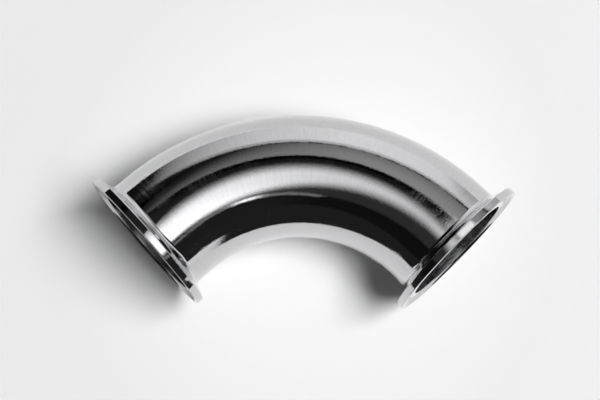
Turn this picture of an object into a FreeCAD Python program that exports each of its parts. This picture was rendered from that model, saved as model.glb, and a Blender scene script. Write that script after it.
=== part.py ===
import FreeCAD, Part
import math
import os

import Sketcher

# Sanitary ninety degree elbow with a clamp ferrule on each end, for two inch tube.
# A thin polished tube is bent through a quarter turn, and a short turned ferrule is butt welded
# to each end. The welds are ground flush, so each joint is one plane where two bores line up.
# The elbow lies on its side, as it comes to rest: on its two flanges and the back of the bend.
# Its mirror plane is x = 0, both ports open towards -Y, and +Z is up from the surface.

doc = FreeCAD.newDocument("sanitary_elbow")

# Driving dimensions in millimetres and degrees
sizes = doc.addObject("Spreadsheet::Sheet", "Sizes")
driving_dimensions = [
    ("tube_diameter", "50.8", "outside of the tube and of the ferrule's neck"),
    ("tube_wall", "1.65", "wall of the tube and of the ferrule's neck"),
    ("bend_radius", "76.2", "bend centre to the middle of the tube"),
    ("bend_angle", "90", "turn from one port to the other"),
    ("ferrule_length", "12.7", "weld to the rim's sealing face"),
    ("flange_diameter", "63.9", "outside of the rim that the clamp closes on"),
    ("rim_thickness", "2.85", "cylindrical edge of the flange"),
    ("back_slope", "20", "slope of the flange's back, which the clamp wedges against"),
    ("neck_fillet", "2", "hollow between the neck and the sloping back"),
    ("edge_rounding", "0.4", "both edges of the rim"),
    ("land_recess", "0.8", "sealing land below the rim's face, half the gasket's web"),
    ("groove_diameter", "56.3", "centre line of the ring groove for the gasket's bead"),
    ("groove_curve", "2.34", "radius of the groove's round section"),
    ("groove_depth", "1.6", "rim's face to the bottom of the groove"),
]
for row, (alias, value, meaning) in enumerate(driving_dimensions, start=1):
    sizes.set(f"A{row}", meaning)
    sizes.set(f"B{row}", value)
    sizes.setAlias(f"B{row}", alias)
doc.recompute()

# The tube's outside and bore, which the ferrules share
tube_radius = sizes.tube_diameter / 2
bore_radius = tube_radius - sizes.tube_wall
TUBE_RADIUS = "Sizes.tube_diameter / 2"
BORE_RADIUS = "Sizes.tube_diameter / 2 - Sizes.tube_wall"


# Sketches on a body's own origin planes

def origin_plane(body, role):
    """The body's own origin plane with this role."""
    for feature in body.Origin.OriginFeatures:
        if feature.Role == role:
            return feature
    raise ValueError(f"{body.Label} has no {role}")


def new_sketch(body, name, role):
    """An empty sketch that lies on one of the body's origin planes."""
    sketch = body.newObject("Sketcher::SketchObject", name)
    sketch.AttachmentSupport = [(origin_plane(body, role), "")]
    sketch.MapMode = "FlatFace"
    return sketch


def bind_dimension(sketch, name, constraint, expression):
    """Add a named dimension to a sketch and tie it to the sizes."""
    index = sketch.addConstraint(constraint)
    sketch.renameConstraint(index, name)
    sketch.setExpression(f"Constraints.{name}", expression)


# Bent tube: a ring section turned about the bend's centre, half to each side of the mirror plane

def make_elbow_tube():
    """The bend with its centre at the body's origin and its apex on the body's +Y."""
    body = doc.addObject("PartDesign::Body", "elbow_tube")
    body.Label = "elbow_tube"

    section = new_sketch(body, "tube_section", "YZ_Plane")
    centre = FreeCAD.Vector(sizes.bend_radius, 0, 0)
    upwards = FreeCAD.Vector(0, 0, 1)
    outer_circle = section.addGeometry(Part.Circle(centre, upwards, tube_radius), False)
    inner_circle = section.addGeometry(Part.Circle(centre, upwards, bore_radius), False)
    outside = Sketcher.Constraint("Radius", outer_circle, tube_radius)
    bind_dimension(section, "tube_radius", outside, TUBE_RADIUS)
    inside = Sketcher.Constraint("Radius", inner_circle, bore_radius)
    bind_dimension(section, "bore_radius", inside, BORE_RADIUS)
    section.addConstraint(Sketcher.Constraint("Coincident", outer_circle, 3, inner_circle, 3))
    section.addConstraint(Sketcher.Constraint("PointOnObject", outer_circle, 3, -1))
    bend_distance = Sketcher.Constraint("DistanceX", -1, 1, outer_circle, 3, centre.x)
    bind_dimension(section, "bend_radius", bend_distance, "Sizes.bend_radius")

    bend = body.newObject("PartDesign::Revolution", "quarter_bend")
    bend.Profile = section
    bend.ReferenceAxis = (section, ["V_Axis"])
    bend.Midplane = True
    bend.setExpression("Angle", "Sizes.bend_angle")
    return body


# Clamp ferrule: turned about its own axis, weld at the origin, sealing face at the far end

def rim_back():
    """Height above the weld of the rim's back edge, before it is rounded."""
    return sizes.ferrule_length - sizes.rim_thickness


def neck_top():
    """Height above the weld where the neck meets the flange's sloping back."""
    flange_width = sizes.flange_diameter / 2 - tube_radius
    return rim_back() - flange_width * math.tan(math.radians(sizes.back_slope))


def ring_edges(shape, radius, height):
    """Names of the circular edges about the axis with this radius at this height."""
    names = []
    for number, edge in enumerate(shape.Edges, start=1):
        if not isinstance(edge.Curve, Part.Circle):
            continue
        if abs(edge.Curve.Radius - radius) < 0.001 and abs(edge.Curve.Center.z - height) < 0.001:
            names.append(f"Edge{number}")
    return names


def draw_ferrule_profile(sketch):
    """Half section of the ferrule before its groove: radius to the right, axis upwards."""
    rim = sizes.flange_diameter / 2
    groove = sizes.groove_diameter / 2
    face = sizes.ferrule_length
    land = face - sizes.land_recess
    corners = [
        FreeCAD.Vector(bore_radius, 0, 0),
        FreeCAD.Vector(tube_radius, 0, 0),
        FreeCAD.Vector(tube_radius, neck_top(), 0),
        FreeCAD.Vector(rim, rim_back(), 0),
        FreeCAD.Vector(rim, face, 0),
        FreeCAD.Vector(groove, face, 0),
        FreeCAD.Vector(groove, land, 0),
        FreeCAD.Vector(bore_radius, land, 0),
    ]
    weld_end, neck_side, sloping_back, rim_side, rim_face, step, land_face, bore_side = range(len(corners))
    for number, corner in enumerate(corners):
        following = corners[(number + 1) % len(corners)]
        sketch.addGeometry(Part.LineSegment(corner, following), False)
    for number in range(len(corners)):
        following = (number + 1) % len(corners)
        sketch.addConstraint(Sketcher.Constraint("Coincident", number, 2, following, 1))
    for line in (weld_end, rim_face, land_face):
        sketch.addConstraint(Sketcher.Constraint("Horizontal", line))
    for line in (neck_side, rim_side, step, bore_side):
        sketch.addConstraint(Sketcher.Constraint("Vertical", line))
    sketch.addConstraint(Sketcher.Constraint("PointOnObject", weld_end, 1, -1))

    def across(line, radius):
        return Sketcher.Constraint("DistanceX", -1, 1, line, 1, radius)

    bind_dimension(sketch, "bore_radius", across(weld_end, bore_radius), BORE_RADIUS)
    bind_dimension(sketch, "neck_radius", across(neck_side, tube_radius), TUBE_RADIUS)
    bind_dimension(sketch, "rim_radius", across(rim_side, rim), "Sizes.flange_diameter / 2")
    bind_dimension(sketch, "land_radius", across(step, groove), "Sizes.groove_diameter / 2")
    length = Sketcher.Constraint("DistanceY", -1, 1, rim_face, 1, face)
    bind_dimension(sketch, "length", length, "Sizes.ferrule_length")
    thickness = Sketcher.Constraint("Distance", rim_side, sizes.rim_thickness)
    bind_dimension(sketch, "rim_thickness", thickness, "Sizes.rim_thickness")
    recess = Sketcher.Constraint("Distance", step, sizes.land_recess)
    bind_dimension(sketch, "land_recess", recess, "Sizes.land_recess")
    slope = Sketcher.Constraint("Angle", -1, 1, sloping_back, 1, math.radians(sizes.back_slope))
    bind_dimension(sketch, "back_slope", slope, "Sizes.back_slope * 1 deg")


def make_ferrule(name):
    """One ferrule, with its weld end at the body's origin and its axis along the body's +Z."""
    body = doc.addObject("PartDesign::Body", name)
    body.Label = name

    profile = new_sketch(body, f"{name}_profile", "XZ_Plane")
    draw_ferrule_profile(profile)
    turned = body.newObject("PartDesign::Revolution", f"{name}_turned")
    turned.Profile = profile
    turned.ReferenceAxis = (profile, ["V_Axis"])
    turned.Angle = 360

    # The gasket's bead seats in a shallow groove of round section, between the land and the rim
    groove_section = new_sketch(body, f"{name}_groove_section", "XZ_Plane")
    height = sizes.ferrule_length - sizes.groove_depth + sizes.groove_curve
    centre = FreeCAD.Vector(sizes.groove_diameter / 2, height, 0)
    upwards = FreeCAD.Vector(0, 0, 1)
    circle = groove_section.addGeometry(Part.Circle(centre, upwards, sizes.groove_curve), False)
    curve = Sketcher.Constraint("Radius", circle, sizes.groove_curve)
    bind_dimension(groove_section, "curve", curve, "Sizes.groove_curve")
    across = Sketcher.Constraint("DistanceX", -1, 1, circle, 3, centre.x)
    bind_dimension(groove_section, "across", across, "Sizes.groove_diameter / 2")
    along = Sketcher.Constraint("DistanceY", -1, 1, circle, 3, centre.y)
    bind_dimension(
        groove_section, "along", along, "Sizes.ferrule_length - Sizes.groove_depth + Sizes.groove_curve"
    )
    groove = body.newObject("PartDesign::Groove", f"{name}_gasket_groove")
    groove.Profile = groove_section
    groove.ReferenceAxis = (groove_section, ["V_Axis"])
    groove.Angle = 360
    doc.recompute()

    # The hollow behind the flange, then the two edges of the rim
    hollow = body.newObject("PartDesign::Fillet", f"{name}_neck_hollow")
    hollow.Base = (groove, ring_edges(groove.Shape, tube_radius, neck_top()))
    hollow.setExpression("Radius", "Sizes.neck_fillet")
    doc.recompute()
    rounding = body.newObject("PartDesign::Fillet", f"{name}_rim_edges")
    rim_radius = sizes.flange_diameter / 2
    back_edge = ring_edges(hollow.Shape, rim_radius, rim_back())
    face_edge = ring_edges(hollow.Shape, rim_radius, sizes.ferrule_length)
    rounding.Base = (hollow, back_edge + face_edge)
    rounding.setExpression("Radius", "Sizes.edge_rounding")
    doc.recompute()
    return body


# How the elbow lies: both rims and the apex of the bend touch the surface

def rest_placement():
    """Turn the flat bend about X until both rims and the apex touch z = 0, then centre it in Y."""
    half_turn = math.radians(sizes.bend_angle / 2)
    rounding = sizes.edge_rounding
    rim_radius = sizes.flange_diameter / 2 - rounding
    back_corner = math.radians(90 + sizes.back_slope)
    contact = rim_back() + rounding / math.tan(back_corner / 2)
    bend_end = sizes.bend_radius * math.cos(half_turn)
    reach = sizes.bend_radius - (bend_end - contact * math.sin(half_turn))

    # The rim's rounded back edge is as low as the apex where reach * sine + tube_radius equals
    # rim_radius * sqrt(1 - (sine * sin(half_turn))^2) + rounding, which is a quadratic in sine
    drop = tube_radius - rounding
    square = reach ** 2 + (rim_radius * math.sin(half_turn)) ** 2
    cross = reach * drop
    sine = (math.sqrt(cross ** 2 - square * (drop ** 2 - rim_radius ** 2)) - cross) / square
    cosine = math.sqrt(1 - sine ** 2)
    lift = sizes.bend_radius * sine + tube_radius

    # Extent in Y, from the rounded face edge of the rims to the outside of the bend
    back = sizes.bend_radius * cosine + tube_radius
    face_centre = (bend_end - (sizes.ferrule_length - rounding) * math.sin(half_turn)) * cosine
    rim_half_width = rim_radius * math.sqrt(1 - (math.sin(half_turn) * cosine) ** 2) + rounding
    front = face_centre - rim_half_width
    tilt = FreeCAD.Rotation(FreeCAD.Vector(1, 0, 0), -math.degrees(math.asin(sine)))
    return FreeCAD.Placement(FreeCAD.Vector(0, -(front + back) / 2, lift), tilt)


def port_placement(side):
    """A weld plane of the flat bend: side is +1 for the port on the right, -1 for the left."""
    half_turn = side * math.radians(sizes.bend_angle / 2)
    across = sizes.bend_radius * math.sin(half_turn)
    along = sizes.bend_radius * math.cos(half_turn)
    outwards = FreeCAD.Vector(side * math.cos(half_turn), -side * math.sin(half_turn), 0)
    turn = FreeCAD.Rotation(FreeCAD.Vector(0, 0, 1), outwards)
    return FreeCAD.Placement(FreeCAD.Vector(across, along, 0), turn)


# Assembly in the shared frame
rest = rest_placement()
elbow_tube = make_elbow_tube()
left_ferrule = make_ferrule("left_ferrule")
right_ferrule = make_ferrule("right_ferrule")
elbow_tube.Placement = rest
left_ferrule.Placement = rest.multiply(port_placement(-1))
right_ferrule.Placement = rest.multiply(port_placement(1))
doc.recompute()

# Every feature has to be sound before a file is written
for item in doc.Objects:
    if "Invalid" in item.State or "Error" in item.State:
        raise RuntimeError(f"{item.Label} failed: {item.State}")
os.makedirs("parts", exist_ok=True)
for piece in (elbow_tube, left_ferrule, right_ferrule):
    if piece.Shape.isNull() or not piece.Shape.isValid():
        raise RuntimeError(f"{piece.Label} has no valid solid")
    piece.Shape.exportStep(f"parts/{piece.Label}.step")
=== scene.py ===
import math

import bpy
from mathutils import Euler, Matrix, Vector


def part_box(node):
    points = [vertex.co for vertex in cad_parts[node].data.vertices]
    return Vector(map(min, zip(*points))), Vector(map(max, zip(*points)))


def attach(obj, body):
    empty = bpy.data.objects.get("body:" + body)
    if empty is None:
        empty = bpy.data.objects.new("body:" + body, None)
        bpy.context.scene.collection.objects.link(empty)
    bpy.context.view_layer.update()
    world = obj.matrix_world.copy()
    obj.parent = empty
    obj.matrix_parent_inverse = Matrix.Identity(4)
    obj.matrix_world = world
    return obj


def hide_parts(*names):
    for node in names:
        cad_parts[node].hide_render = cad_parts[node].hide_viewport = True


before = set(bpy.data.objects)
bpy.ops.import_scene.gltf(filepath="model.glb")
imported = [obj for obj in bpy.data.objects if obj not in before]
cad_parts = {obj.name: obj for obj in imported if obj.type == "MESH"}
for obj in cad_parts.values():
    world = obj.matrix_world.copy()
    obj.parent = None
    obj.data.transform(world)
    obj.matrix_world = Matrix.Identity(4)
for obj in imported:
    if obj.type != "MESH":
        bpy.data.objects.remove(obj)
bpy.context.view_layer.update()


# The bent tube
# One length of thin stainless tube, bent through a quarter turn and polished outside with
# a fine band. It lies on both rims and on the back of its bend, so the bend is tilted.

TUBE_RADIUS = 0.0254
BORE_RADIUS = 0.02375
BORE_MARGIN = 0.0002
BEND_RADIUS = 0.0762
HALF_TURN = math.radians(45)
ARC_HALF = BEND_RADIUS * HALF_TURN
RIM_TILT = math.radians(12.1386)
RING_SIDES = 160
BEND_STEPS = 120
SHARP_EDGE = math.radians(30)
UV_PER_METRE = 10


def deselect_all():
    """Leave edit mode, and select nothing."""
    if bpy.context.object and bpy.context.object.mode == "EDIT":
        bpy.ops.object.mode_set(mode="OBJECT")
    bpy.ops.object.select_all(action="DESELECT")


def name_piece(name):
    """Name the active object and its mesh."""
    piece = bpy.context.object
    piece.name = name
    piece.data.name = name
    return piece


def bend_directions(angle):
    """Out of the flat bend and rightwards along it, at this angle from its middle."""
    outwards = Vector((math.sin(angle), math.cos(angle), 0))
    rightwards = Vector((math.cos(angle), -math.sin(angle), 0))
    return outwards, rightwards


def straight_place(point):
    """Where a point of the flat bend would be if the elbow were drawn out straight along X."""
    angle = max(-HALF_TURN, min(HALF_TURN, math.atan2(point.x, point.y)))
    outwards, rightwards = bend_directions(angle)
    from_centre = point - outwards * BEND_RADIUS
    past = from_centre.dot(rightwards)
    return Vector((BEND_RADIUS * angle + past, from_centre.dot(outwards), point.z))


def wrap_finish(piece):
    """Give a piece of the flat bend the straight places and a UV map that its finish follows.

    U runs along the profile, across the marks of the polishing band, and V round the tube.
    """
    mesh = piece.data
    places = [straight_place(vertex.co) for vertex in mesh.vertices]
    attribute = mesh.attributes.new("straight_place", "FLOAT_VECTOR", "POINT")
    for index, place in enumerate(places):
        attribute.data[index].vector = place
    layer = mesh.uv_layers.new(name="polish")
    for face in mesh.polygons:
        angles = [math.atan2(places[index].z, places[index].y) for index in face.vertices]
        for loop, index, angle in zip(face.loop_indices, face.vertices, angles):
            if angle - angles[0] > math.pi:
                angle -= math.tau
            if angles[0] - angle > math.pi:
                angle += math.tau
            place = places[index]
            across = abs(place.x) + math.hypot(place.y, place.z)
            layer.data[loop].uv = (across * UV_PER_METRE, angle / math.tau)


def line_bore(piece):
    """Give the faces of the bore the piece's second material."""
    places = [item.vector for item in piece.data.attributes["straight_place"].data]
    for face in piece.data.polygons:
        radii = [math.hypot(places[index].y, places[index].z) for index in face.vertices]
        face.material_index = int(max(radii) < BORE_RADIUS + BORE_MARGIN)


def lay_down(piece):
    """Turn a finished piece of the flat bend into its rest, where the CAD tube lies."""
    back_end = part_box("elbow_tube")[1].y
    reach = BEND_RADIUS * math.cos(RIM_TILT) + TUBE_RADIUS
    lift = BEND_RADIUS * math.sin(RIM_TILT) + TUBE_RADIUS
    rest = Matrix.Translation((0, back_end - reach, lift)) @ Matrix.Rotation(-RIM_TILT, 4, "X")
    piece.data.transform(rest)
    piece.data.update()


deselect_all()
left_end = bend_directions(-HALF_TURN)[0] * BEND_RADIUS
bpy.ops.mesh.primitive_circle_add(
    vertices=RING_SIDES, radius=TUBE_RADIUS, location=left_end, rotation=(0, math.pi / 2, HALF_TURN)
)
elbow_tube = name_piece("polished_tube")
bpy.ops.object.transform_apply(location=True, rotation=True, scale=True)
bpy.ops.object.mode_set(mode="EDIT")
bpy.ops.mesh.select_all(action="SELECT")
bpy.ops.mesh.spin(steps=BEND_STEPS, angle=2 * HALF_TURN, center=(0, 0, 0), axis=(0, 0, 1))
bpy.ops.mesh.select_all(action="SELECT")
bpy.ops.mesh.normals_make_consistent(inside=False)
bpy.ops.object.mode_set(mode="OBJECT")
wall = elbow_tube.modifiers.new("wall", "SOLIDIFY")
wall.thickness = TUBE_RADIUS - BORE_RADIUS
wall.offset = -1
wall.use_even_offset = True
bpy.ops.object.modifier_apply(modifier="wall")
bpy.ops.object.shade_smooth_by_angle(angle=SHARP_EDGE)
wrap_finish(elbow_tube)

STEEL_COLOUR = (0.61, 0.61, 0.62)
DARKEST_MARK = 0.95
PALEST_MARK = 1.03
PATCH_SCALE = 90.0
GRAIN_SCALE = 1500.0
GRAIN_DEPTH = 8.0
EXTRA_WELD_DEPTH = 6.0
WELD_DULLNESS = 0.05


def add_node(tree, kind, **values):
    """Add a shader node and set the named properties on it."""
    node = tree.nodes.new(kind)
    for name, value in values.items():
        setattr(node, name, value)
    return node


def feed(tree, socket, source):
    """Link another node's output to a socket, or set the socket to a plain value."""
    if isinstance(source, bpy.types.NodeSocket):
        tree.links.new(source, socket)
    else:
        socket.default_value = source


def combine(tree, operation, *sources):
    """A number worked out from others."""
    node = add_node(tree, "ShaderNodeMath", operation=operation)
    for socket, source in zip(node.inputs, sources):
        feed(tree, socket, source)
    return node.outputs[0]


def combine_vectors(tree, operation, *sources):
    """The outputs of a node that works out a vector or a number from vectors."""
    node = add_node(tree, "ShaderNodeVectorMath", operation=operation)
    for socket, source in zip(node.inputs, sources):
        feed(tree, socket, source)
    return node.outputs


def stretch(tree, vector, factor):
    """A vector times a number."""
    node = add_node(tree, "ShaderNodeVectorMath", operation="SCALE")
    feed(tree, node.inputs[0], vector)
    feed(tree, node.inputs["Scale"], factor)
    return node.outputs[0]


def remap(tree, source, over, levels, curve="LINEAR"):
    """A number that goes between two levels while the source goes over a range."""
    node = add_node(tree, "ShaderNodeMapRange", interpolation_type=curve)
    feed(tree, node.inputs["Value"], source)
    for name, value in zip(("From Min", "From Max", "To Min", "To Max"), (*over, *levels)):
        feed(tree, node.inputs[name], value)
    return node.outputs["Result"]


def fade(tree, source, over, levels):
    """A number that goes smoothly between two levels while the source goes over a range."""
    return remap(tree, source, over, levels, curve="SMOOTHSTEP")


def add_noise(tree, place, scale, detail, roughness=0.5):
    """A noise that follows a place, about 0.5 on average."""
    node = add_node(tree, "ShaderNodeTexNoise")
    feed(tree, node.inputs["Vector"], place)
    feed(tree, node.inputs["Scale"], scale)
    feed(tree, node.inputs["Detail"], detail)
    feed(tree, node.inputs["Roughness"], roughness)
    return node.outputs["Fac"]


def make_polish_group():
    """Marks of a polishing band: fine rings round the tube, each with its own height and gloss."""
    group = bpy.data.node_groups.new("polish_marks", "ShaderNodeTree")
    for name in ("Ring Scale", "Mark Length", "Weld Zone"):
        group.interface.new_socket(name, in_out="INPUT", socket_type="NodeSocketFloat")
    for name in ("Height", "Gloss", "Blend", "Tone"):
        group.interface.new_socket(name, in_out="OUTPUT", socket_type="NodeSocketFloat")
    given = add_node(group, "NodeGroupInput").outputs
    results = add_node(group, "NodeGroupOutput").inputs
    place = add_node(group, "ShaderNodeAttribute", attribute_name="straight_place").outputs["Vector"]
    parts = add_node(group, "ShaderNodeSeparateXYZ")
    feed(group, parts.inputs[0], place)

    # Rings follow the distance along the profile, and change slowly round the axis
    off_axis = add_node(group, "ShaderNodeCombineXYZ")
    feed(group, off_axis.inputs["Y"], parts.outputs["Y"])
    feed(group, off_axis.inputs["Z"], parts.outputs["Z"])
    radius = combine_vectors(group, "LENGTH", off_axis.outputs[0])["Value"]
    direction = combine_vectors(group, "NORMALIZE", off_axis.outputs[0])["Vector"]
    profile = combine(group, "ADD", parts.outputs["X"], radius)
    ring_place = add_node(group, "ShaderNodeCombineXYZ")
    feed(group, ring_place.inputs["X"], combine(group, "MULTIPLY", profile, given["Ring Scale"]))
    round_place = stretch(group, direction, given["Mark Length"])
    mark_place = combine_vectors(group, "ADD", ring_place.outputs[0], round_place)["Vector"]
    marks = add_noise(group, mark_place, scale=1.0, detail=3.0, roughness=0.6)
    tone = remap(group, marks, over=(0.3, 0.7), levels=(DARKEST_MARK, PALEST_MARK))
    feed(group, results["Tone"], tone)

    # Gloss changes from ring to ring, and in soft patches
    patches = add_noise(group, place, scale=PATCH_SCALE, detail=4.0)
    feed(group, results["Gloss"], combine(group, "ADD", marks, patches))

    # The weld, ground flush and blended, is a little duller and mottled on both sides
    lengthwise = combine(group, "ABSOLUTE", parts.outputs["X"])
    distance = combine(group, "ABSOLUTE", combine(group, "SUBTRACT", lengthwise, ARC_HALF))
    zone = fade(group, distance, over=(0.0, given["Weld Zone"]), levels=(1.0, 0.0))
    feed(group, results["Blend"], combine(group, "MULTIPLY", zone, patches))

    # Fine grain lies over the rings, deeper beside the weld
    grain = add_noise(group, place, scale=GRAIN_SCALE, detail=2.0)
    depth = combine(group, "MULTIPLY_ADD", zone, EXTRA_WELD_DEPTH, GRAIN_DEPTH)
    feed(group, results["Height"], combine(group, "MULTIPLY_ADD", grain, depth, marks))
    return group


def make_steel(name, ring_scale, mark_length, weld_zone, mark_height, smooth, rough):
    """Polished stainless steel, from smooth to rough, and a little duller beside the weld."""
    steel = bpy.data.materials.new(name)
    steel.use_nodes = True
    tree = steel.node_tree
    shader = tree.nodes["Principled BSDF"]
    shader.inputs["Metallic"].default_value = 1.0
    shader.inputs["Anisotropic"].default_value = 0.9
    marks = add_node(tree, "ShaderNodeGroup", node_tree=polish_marks)
    marks.inputs["Ring Scale"].default_value = ring_scale
    marks.inputs["Mark Length"].default_value = mark_length
    marks.inputs["Weld Zone"].default_value = weld_zone
    feed(tree, shader.inputs["Base Color"], stretch(tree, STEEL_COLOUR, marks.outputs["Tone"]))
    gloss = remap(tree, marks.outputs["Gloss"], over=(0.95, 1.35), levels=(smooth, rough))
    duller = combine(tree, "MULTIPLY_ADD", marks.outputs["Blend"], WELD_DULLNESS, gloss)
    feed(tree, shader.inputs["Roughness"], duller)
    bump = add_node(tree, "ShaderNodeBump")
    bump.inputs["Strength"].default_value = 1.0
    bump.inputs["Distance"].default_value = mark_height
    feed(tree, bump.inputs["Height"], marks.outputs["Height"])
    feed(tree, shader.inputs["Normal"], bump.outputs["Normal"])
    tangent = add_node(tree, "ShaderNodeTangent", direction_type="UV_MAP", uv_map="polish")
    feed(tree, shader.inputs["Tangent"], tangent.outputs["Tangent"])
    return steel


polish_marks = make_polish_group()
tube_steel = make_steel(
    "band_polished_steel",
    ring_scale=2200,
    mark_length=5.0,
    weld_zone=0.012,
    mark_height=0.000002,
    smooth=0.02,
    rough=0.15,
)
bore_steel = make_steel(
    "bore_steel",
    ring_scale=1200,
    mark_length=3.0,
    weld_zone=0.012,
    mark_height=0.000002,
    smooth=0.08,
    rough=0.24,
)
elbow_tube.data.materials.append(tube_steel)
elbow_tube.data.materials.append(bore_steel)
line_bore(elbow_tube)
lay_down(elbow_tube)
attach(elbow_tube, "root")
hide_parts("elbow_tube")


# The two clamp ferrules
# Each is turned from solid stainless steel and butt welded to the tube's end. It has a short
# neck, a flange with a sloping back, a rim, and a recessed land with a round gasket groove.

FERRULE_LENGTH = 0.0127
FLANGE_RADIUS = 0.03195
RIM_THICKNESS = 0.00285
BACK_SLOPE = math.radians(20)
NECK_HOLLOW = 0.002
EDGE_ROUNDING = 0.0004
BORE_ROUNDING = 0.00012
LAND_RECESS = 0.0008
GROOVE_RADIUS = 0.02815
GROOVE_CURVE = 0.00234
GROOVE_DEPTH = 0.0016
GROOVE_STEPS = 14
SAME_PLACE = 1e-6


def ferrule_profile():
    """Corners of the ferrule's section as (distance from the weld, radius), round to the start."""
    rim_back = FERRULE_LENGTH - RIM_THICKNESS
    neck_top = rim_back - (FLANGE_RADIUS - TUBE_RADIUS) * math.tan(BACK_SLOPE)
    land = FERRULE_LENGTH - LAND_RECESS
    groove_centre = FERRULE_LENGTH - GROOVE_DEPTH + GROOVE_CURVE
    start = math.acos((groove_centre - FERRULE_LENGTH) / GROOVE_CURVE)
    stop = -math.acos((groove_centre - land) / GROOVE_CURVE)
    corners = [
        (0, TUBE_RADIUS),
        (neck_top, TUBE_RADIUS),
        (rim_back, FLANGE_RADIUS),
        (FERRULE_LENGTH, FLANGE_RADIUS),
    ]
    for step in range(GROOVE_STEPS + 1):
        angle = start + (stop - start) * step / GROOVE_STEPS
        depth = groove_centre - GROOVE_CURVE * math.cos(angle)
        corners.append((depth, GROOVE_RADIUS + GROOVE_CURVE * math.sin(angle)))
    corners += [(land, BORE_RADIUS), (0, BORE_RADIUS)]
    return corners


def bevel_ring(piece, distance, radius, width, segments):
    """Round the edge of a turned piece that runs at this distance and radius round the Z axis."""
    bpy.ops.object.mode_set(mode="OBJECT")
    mesh = piece.data
    for item in list(mesh.vertices) + list(mesh.edges) + list(mesh.polygons):
        item.select = False
    on_ring = []
    for vertex in mesh.vertices:
        off = math.hypot(vertex.co.x, vertex.co.y) - radius
        on_ring.append(abs(off) < SAME_PLACE and abs(vertex.co.z - distance) < SAME_PLACE)
    for edge in mesh.edges:
        edge.select = all(on_ring[index] for index in edge.vertices)
    bpy.ops.object.mode_set(mode="EDIT")
    bpy.ops.mesh.bevel(offset=width, segments=segments, profile=0.5, offset_type="OFFSET")


deselect_all()
profile = ferrule_profile()
bpy.ops.mesh.primitive_circle_add(vertices=RING_SIDES, radius=TUBE_RADIUS, location=(0, 0, 0))
ferrule = name_piece("left_clamp_ferrule")
bpy.ops.object.mode_set(mode="EDIT")
bpy.ops.mesh.select_all(action="SELECT")
for (distance, radius), (next_distance, next_radius) in zip(profile, profile[1:] + profile[:1]):
    move = (0, 0, next_distance - distance)
    ratio = next_radius / radius
    bpy.ops.mesh.extrude_edges_move(TRANSFORM_OT_translate={"value": move})
    bpy.ops.transform.resize(value=(ratio, ratio, 1), center_override=(0, 0, 0))
bpy.ops.mesh.select_all(action="SELECT")
bpy.ops.mesh.remove_doubles(threshold=SAME_PLACE)
bpy.ops.mesh.normals_make_consistent(inside=False)

# The hollow, the rim's two edges, and the fine edges of the groove and the bore
neck, rim_back, rim_front, groove_edge = profile[1:5]
land_edge, bore_edge = profile[-3:-1]
hollow_width = NECK_HOLLOW * math.tan((math.pi / 2 - BACK_SLOPE) / 2)
back_width = EDGE_ROUNDING / math.tan((math.pi / 2 + BACK_SLOPE) / 2)
bevel_ring(ferrule, *neck, hollow_width, segments=10)
bevel_ring(ferrule, *rim_back, back_width, segments=4)
bevel_ring(ferrule, *rim_front, EDGE_ROUNDING, segments=5)
for corner in (groove_edge, land_edge, bore_edge):
    bevel_ring(ferrule, *corner, BORE_ROUNDING, segments=3)
bpy.ops.object.mode_set(mode="OBJECT")
bpy.ops.object.shade_smooth_by_angle(angle=SHARP_EDGE)
flat_faces = ferrule.modifiers.new("flat_faces", "WEIGHTED_NORMAL")
flat_faces.mode = "FACE_AREA"
flat_faces.keep_sharp = True
bpy.ops.object.modifier_apply(modifier="flat_faces")

ferrule_steel = make_steel(
    "turned_steel",
    ring_scale=3000,
    mark_length=1.5,
    weld_zone=0.007,
    mark_height=0.000001,
    smooth=0.02,
    rough=0.13,
)


def place_ferrule(piece, side):
    """Move a turned ferrule from the Z axis to one port of the bend, then finish and lay it."""
    outwards, rightwards = bend_directions(side * HALF_TURN)
    out_of_port = rightwards * side
    normal = out_of_port.cross(outwards)
    port = Matrix((outwards, normal, out_of_port)).transposed().to_4x4()
    port.translation = outwards * BEND_RADIUS
    piece.data.transform(port)
    wrap_finish(piece)
    piece.data.materials.append(ferrule_steel)
    piece.data.materials.append(bore_steel)
    line_bore(piece)
    lay_down(piece)
    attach(piece, "root")


right_ferrule = ferrule.copy()
right_ferrule.data = ferrule.data.copy()
right_ferrule.name = "right_clamp_ferrule"
right_ferrule.data.name = "right_clamp_ferrule"
bpy.context.scene.collection.objects.link(right_ferrule)
place_ferrule(ferrule, -1)
place_ferrule(right_ferrule, 1)
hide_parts("left_ferrule")
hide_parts("right_ferrule")


# White paper and studio
# The elbow lies on a sheet of white paper before a white wall, in a room that is dark to the
# left and in front. Glowing and black cards, which only the polished steel sees, draw its bands;
# their glow is painted light that stands in for the lit surfaces of a studio.

PAPER_COLOUR = (0.93, 0.93, 0.93, 1)
PAPER_WIDTH = 2.0
PAPER_GLOW = 0.9
FULL_LAMPLIGHT = 3.02
LAMP_PLACE = Vector((0.215, -0.03, 0.544))
LAMP_TURN = Euler((0, math.radians(70), math.radians(-10)))
LAMP_SIZE = (0.27, 0.3)
LAMP_POWER = 5.4
CARD_HEIGHT = 2.0
ACROSS_CARD = (1, 0, 0)
UP_CARD = (0, 1, 0)
BLACK_LEVEL = 0.0075
DIM_LEVEL = 0.018
ROOM_LIGHT = 0.015
ROOM_WHITE = 0.92
ROOM_DEPTH = 4.0
ROOM_SIDE = 6.0
ROOM_FOOT = -1.0
LEFT_WALL_TOP = 3.0
WALL_LEFT = -2.75
WALL_RIGHT = 4.0
# Greys of the wall's glow from its left end to its right: painted light and shade
WALL_LIGHT_AND_SHADE = [(0.0, 0.06), (0.06, 0.28), (0.19, 0.58), (0.3, 0.78), (0.5, 0.98), (0.76, 0.9), (0.86, 0.5)]


def along(tree, place, direction):
    """How far a place lies along a direction."""
    return combine_vectors(tree, "DOT_PRODUCT", place, direction)["Value"]


def distance_from(tree, place, point):
    """How far a place lies from a point."""
    return combine_vectors(tree, "DISTANCE", place, point)["Value"]


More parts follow.
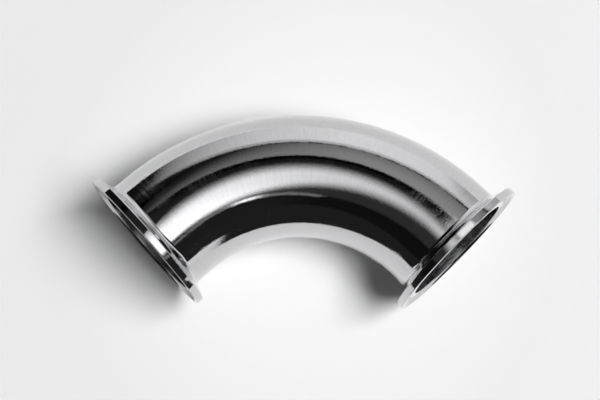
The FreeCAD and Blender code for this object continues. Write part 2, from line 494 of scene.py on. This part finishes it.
def seen_directly(tree):
    """1 for what the camera sees, also in polished or clear surfaces, and 0 for what lights them."""
    ray = add_node(tree, "ShaderNodeLightPath").outputs
    seen = combine(tree, "MAXIMUM", ray["Is Camera Ray"], ray["Is Glossy Ray"])
    return combine(tree, "MAXIMUM", seen, ray["Is Transmission Ray"])


# Where the lamp's light falls short, far outside the picture, the paper glows white instead
paper = bpy.data.materials.new("white_paper")
paper.use_nodes = True
tree = paper.node_tree
shader = tree.nodes["Principled BSDF"]
shader.inputs["Base Color"].default_value = PAPER_COLOUR
shader.inputs["Roughness"].default_value = 0.9
shader.inputs["Specular IOR Level"].default_value = 0.0
place = add_node(tree, "ShaderNodeTexCoord").outputs["Object"]
towards_lamp = combine_vectors(tree, "SUBTRACT", LAMP_PLACE, place)["Vector"]
facing = along(tree, towards_lamp, LAMP_TURN.to_matrix() @ Vector((0, 0, 1)))
fall_off = combine(tree, "POWER", distance_from(tree, place, LAMP_PLACE), 4.0)
lamplight = combine(tree, "DIVIDE", facing, fall_off)
far_glow = remap(tree, lamplight, over=(0.0, FULL_LAMPLIGHT), levels=(PAPER_GLOW, 0.0))
glow_seen = combine(tree, "MULTIPLY", far_glow, seen_directly(tree))
feed(tree, shader.inputs["Emission Strength"], glow_seen)
deselect_all()
bpy.ops.mesh.primitive_plane_add(size=PAPER_WIDTH, location=(0, 0, 0))
floor = name_piece("paper_floor")
floor.data.materials.append(paper)


def new_glow(name):
    """A glowing material, with its node tree, its glow and the card's own coordinates."""
    material = bpy.data.materials.new(name)
    material.use_nodes = True
    tree = material.node_tree
    tree.nodes.clear()
    output = add_node(tree, "ShaderNodeOutputMaterial")
    glow = add_node(tree, "ShaderNodeEmission")
    feed(tree, output.inputs["Surface"], glow.outputs[0])
    place = add_node(tree, "ShaderNodeTexCoord").outputs["Object"]
    return material, tree, glow, place


def grey_card(name, level):
    """An even grey, from 0 for black to 1 for white."""
    material, _, glow, _ = new_glow(name)
    glow.inputs["Strength"].default_value = level
    return material


def add_card(name, material, centre, size, turn=(0, 0, 0), scale=1.0):
    """A flat card that shows in polished surfaces alone."""
    deselect_all()
    bpy.ops.mesh.primitive_plane_add(size=1, location=Vector(centre) * scale, rotation=turn)
    card = name_piece(name)
    card.data.transform(Matrix.Diagonal((size[0], size[1], 1, 1)))
    card.scale = (scale, scale, scale)
    card.data.materials.append(material)
    card.visible_camera = False
    card.visible_diffuse = False
    card.visible_shadow = False
    card.visible_transmission = False
    card.visible_volume_scatter = False


def add_overhead(name, material, middle, size, drop, turn=0.0):
    """A level card overhead, placed and sized by slopes: metres aside for each metre up."""
    add_card(name, material, (*middle, 1), size, (0, 0, math.radians(turn)), CARD_HEIGHT - drop)


def add_upright(name, material, start, stop, low, high):
    """An upright card over the line between two points of the floor, from low to high."""
    start = Vector(start)
    run = Vector(stop) - start
    middle = start + run / 2
    centre = (middle.x, middle.y, (low + high) / 2)
    turn = (math.pi / 2, 0, math.atan2(run.y, run.x))
    add_card(name, material, centre, (run.length, high - low), turn)


# The dark parts of the room: overhead, to the left, in front and close by the camera
black = grey_card("black_card", BLACK_LEVEL)
dim = grey_card("dim_card", DIM_LEVEL)
# The ceiling is a faint glow, a little brighter to the right: painted light
ceiling, tree, glow, place = new_glow("ceiling_glow")
level = fade(tree, along(tree, place, ACROSS_CARD), over=(-0.3, 0.5), levels=(BLACK_LEVEL, 0.017))
feed(tree, glow.inputs["Strength"], level)
add_overhead("ceiling", ceiling, middle=(0, -1.305), size=(6, 5.39), drop=0)
add_overhead("ceiling_left", black, middle=(-1.1, 1.37), size=(1.6, 0.6), drop=0.005, turn=-28)
add_overhead("ceiling_right", dim, middle=(0.98, 1.41), size=(1.4, 0.2), drop=0.005, turn=10)
wall_left_end = (WALL_LEFT, ROOM_DEPTH)
wall_right_end = (WALL_RIGHT, ROOM_DEPTH)
left_corner = (-ROOM_SIDE, ROOM_DEPTH)
past_left_corner = (-8, ROOM_DEPTH)
front_left = (-ROOM_SIDE, -ROOM_DEPTH)
front_right = (ROOM_SIDE, -ROOM_DEPTH)
add_upright("left_wall_back", black, wall_left_end, past_left_corner, low=ROOM_FOOT, high=LEFT_WALL_TOP)
add_upright("left_wall", black, left_corner, front_left, low=ROOM_FOOT, high=LEFT_WALL_TOP)
add_upright("front_wall", dim, front_left, front_right, low=ROOM_FOOT, high=2.1)
add_upright("near_card", dim, start=(0.045, -0.112), stop=(-0.5, -0.42), low=0, high=0.1)

# The white wall is a glowing card: painted light, with painted shade that darkens it upwards and to both
# sides
wall_glow_and_shade, tree, glow, place = new_glow("white_wall_glow_and_shade")
wall_half = (WALL_RIGHT - WALL_LEFT) / 2
rightwards = remap(tree, along(tree, place, ACROSS_CARD), over=(-wall_half, wall_half), levels=(0, 1))
ramp = add_node(tree, "ShaderNodeValToRGB")
for _ in WALL_LIGHT_AND_SHADE[2:]:
    ramp.color_ramp.elements.new(0.5)
for element, (position, grey) in zip(ramp.color_ramp.elements, WALL_LIGHT_AND_SHADE):
    element.position = position
    element.color = (grey, grey, grey, 1)
feed(tree, ramp.inputs["Fac"], rightwards)
feed(tree, glow.inputs["Color"], ramp.outputs["Color"])
upwards = fade(tree, along(tree, place, UP_CARD), over=(1.1, 1.65), levels=(1.07, 0.64))
feed(tree, glow.inputs["Strength"], upwards)
add_upright("white_wall", wall_glow_and_shade, wall_left_end, wall_right_end, low=ROOM_FOOT, high=2.95)

# A grey glowing panel between the softbox and the wall, with painted light that makes it paler towards
# the softbox
lit_panel_glow, tree, glow, place = new_glow("grey_panel_glow")
upwards = fade(tree, along(tree, place, UP_CARD), over=(-0.4, 0.4), levels=(0.37, 0.24))
left_end_mask = fade(tree, along(tree, place, ACROSS_CARD), over=(-0.82, -0.32), levels=(0.05, 1.0))
feed(tree, glow.inputs["Strength"], combine(tree, "MULTIPLY", upwards, left_end_mask))
add_overhead("grey_panel", lit_panel_glow, middle=(0.44, 0.925), size=(1.8, 0.77), drop=0.04, turn=1.5)

# The softbox has soft edges and a faint glow round it. It is brightest to the right, and the
# camera's shape darkens its far edge
softbox, tree, glow, place = new_glow("softbox_cloth")
from_core = distance_from(tree, place, (0.3, 0.1, 0))
from_middle = distance_from(tree, place, (-0.05, 0, 0))
from_camera = distance_from(tree, place, (0.05, 0.4, 0))
level = fade(tree, along(tree, place, ACROSS_CARD), over=(-0.3, 0.9), levels=(0.9, 2.2))
core = fade(tree, from_core, over=(0.5, 0.82), levels=(1.0, 0.04))
around = fade(tree, from_middle, over=(0.83, 1.0), levels=(1.0, 0.19))
camera_shade = fade(tree, from_camera, over=(0.12, 0.5), levels=(0.01, 1.0))
far_edge = fade(tree, along(tree, place, UP_CARD), over=(0.36, 0.46), levels=(1.0, 0.02))
for mask in (core, around, camera_shade, far_edge):
    level = combine(tree, "MULTIPLY", level, mask)
feed(tree, glow.inputs["Strength"], level)
add_overhead("softbox_card", softbox, middle=(0, 0), size=(2.06, 2.06), drop=0.02)

# A strip of light beside the softbox, with one bright place
strip, tree, glow, place = new_glow("strip_light")
spot = fade(tree, distance_from(tree, place, (0, 0, 0)), over=(0.03, 0.17), levels=(1.7, 0.22))
feed(tree, glow.inputs["Strength"], spot)
add_overhead("strip_card", strip, middle=(0.39, -0.76), size=(1.24, 0.15), drop=0.06, turn=20)

# Small cards close above the two ends: a dim one that darkens the reflection at the left end,
# and at the right a glowing white one, standing in for light, that puts a highlight on the right
# ferrule's rim. It ends in a straight edge and is round elsewhere
glint, tree, glow, place = new_glow("rim_highlight_glow")
glow.inputs["Strength"].default_value = 1.3
straight_edge = fade(tree, along(tree, place, UP_CARD), over=(0.0, 0.016), levels=(1.0, 0.0))
round_edge = fade(tree, distance_from(tree, place, (0, 0, 0)), over=(0.03, 0.055), levels=(1.0, 0.0))
clear = add_node(tree, "ShaderNodeBsdfTransparent")
mix = add_node(tree, "ShaderNodeMixShader")
feed(tree, mix.inputs["Fac"], combine(tree, "MULTIPLY", straight_edge, round_edge))
feed(tree, mix.inputs[1], clear.outputs[0])
feed(tree, mix.inputs[2], glow.outputs[0])
feed(tree, tree.nodes["Material Output"].inputs["Surface"], mix.outputs[0])
left_turn = (0, 0, math.radians(-17))
right_turn = (0, 0, math.radians(46))
add_card("left_end_card", dim, centre=(-0.192, 0.038, 0.1), size=(0.3, 0.03), turn=left_turn)
add_card("white_end_card", glint, centre=(0.07, 0.049, 0.2), size=(0.11, 0.11), turn=right_turn)

# One soft lamp lights the paper and isn't itself seen
deselect_all()
bpy.ops.object.light_add(type="AREA", location=LAMP_PLACE, rotation=LAMP_TURN)
lamp = bpy.context.object
lamp.name = "softbox_lamp"
lamp.data.shape = "RECTANGLE"
lamp.data.size, lamp.data.size_y = LAMP_SIZE
lamp.data.energy = LAMP_POWER
lamp.visible_glossy = False
lamp.visible_camera = False

# The room beyond the cards looks white and gives next to no light
world = bpy.data.worlds.new("white_room")
bpy.context.scene.world = world
world.use_nodes = True
tree = world.node_tree
background = tree.nodes["Background"]
background.inputs["Color"].default_value = (1, 1, 1, 1)
level = remap(tree, seen_directly(tree), over=(0, 1), levels=(ROOM_LIGHT, ROOM_WHITE))
feed(tree, background.inputs["Strength"], level)

bpy.context.scene.view_settings.view_transform = "Standard"


# Camera
# It looks down at the elbow from a little in front, as the photograph does.

CAMERA_PLACE = (0.005568, -0.045309, 0.331715)
CAMERA_TURN = (math.radians(9.1848), math.radians(1.0053), math.radians(1.5102))

deselect_all()
bpy.ops.object.camera_add(location=CAMERA_PLACE, rotation=CAMERA_TURN)
camera = bpy.context.object
camera.name = "camera"
camera.data.lens = 45
camera.data.sensor_width = 36
bpy.context.scene.camera = camera
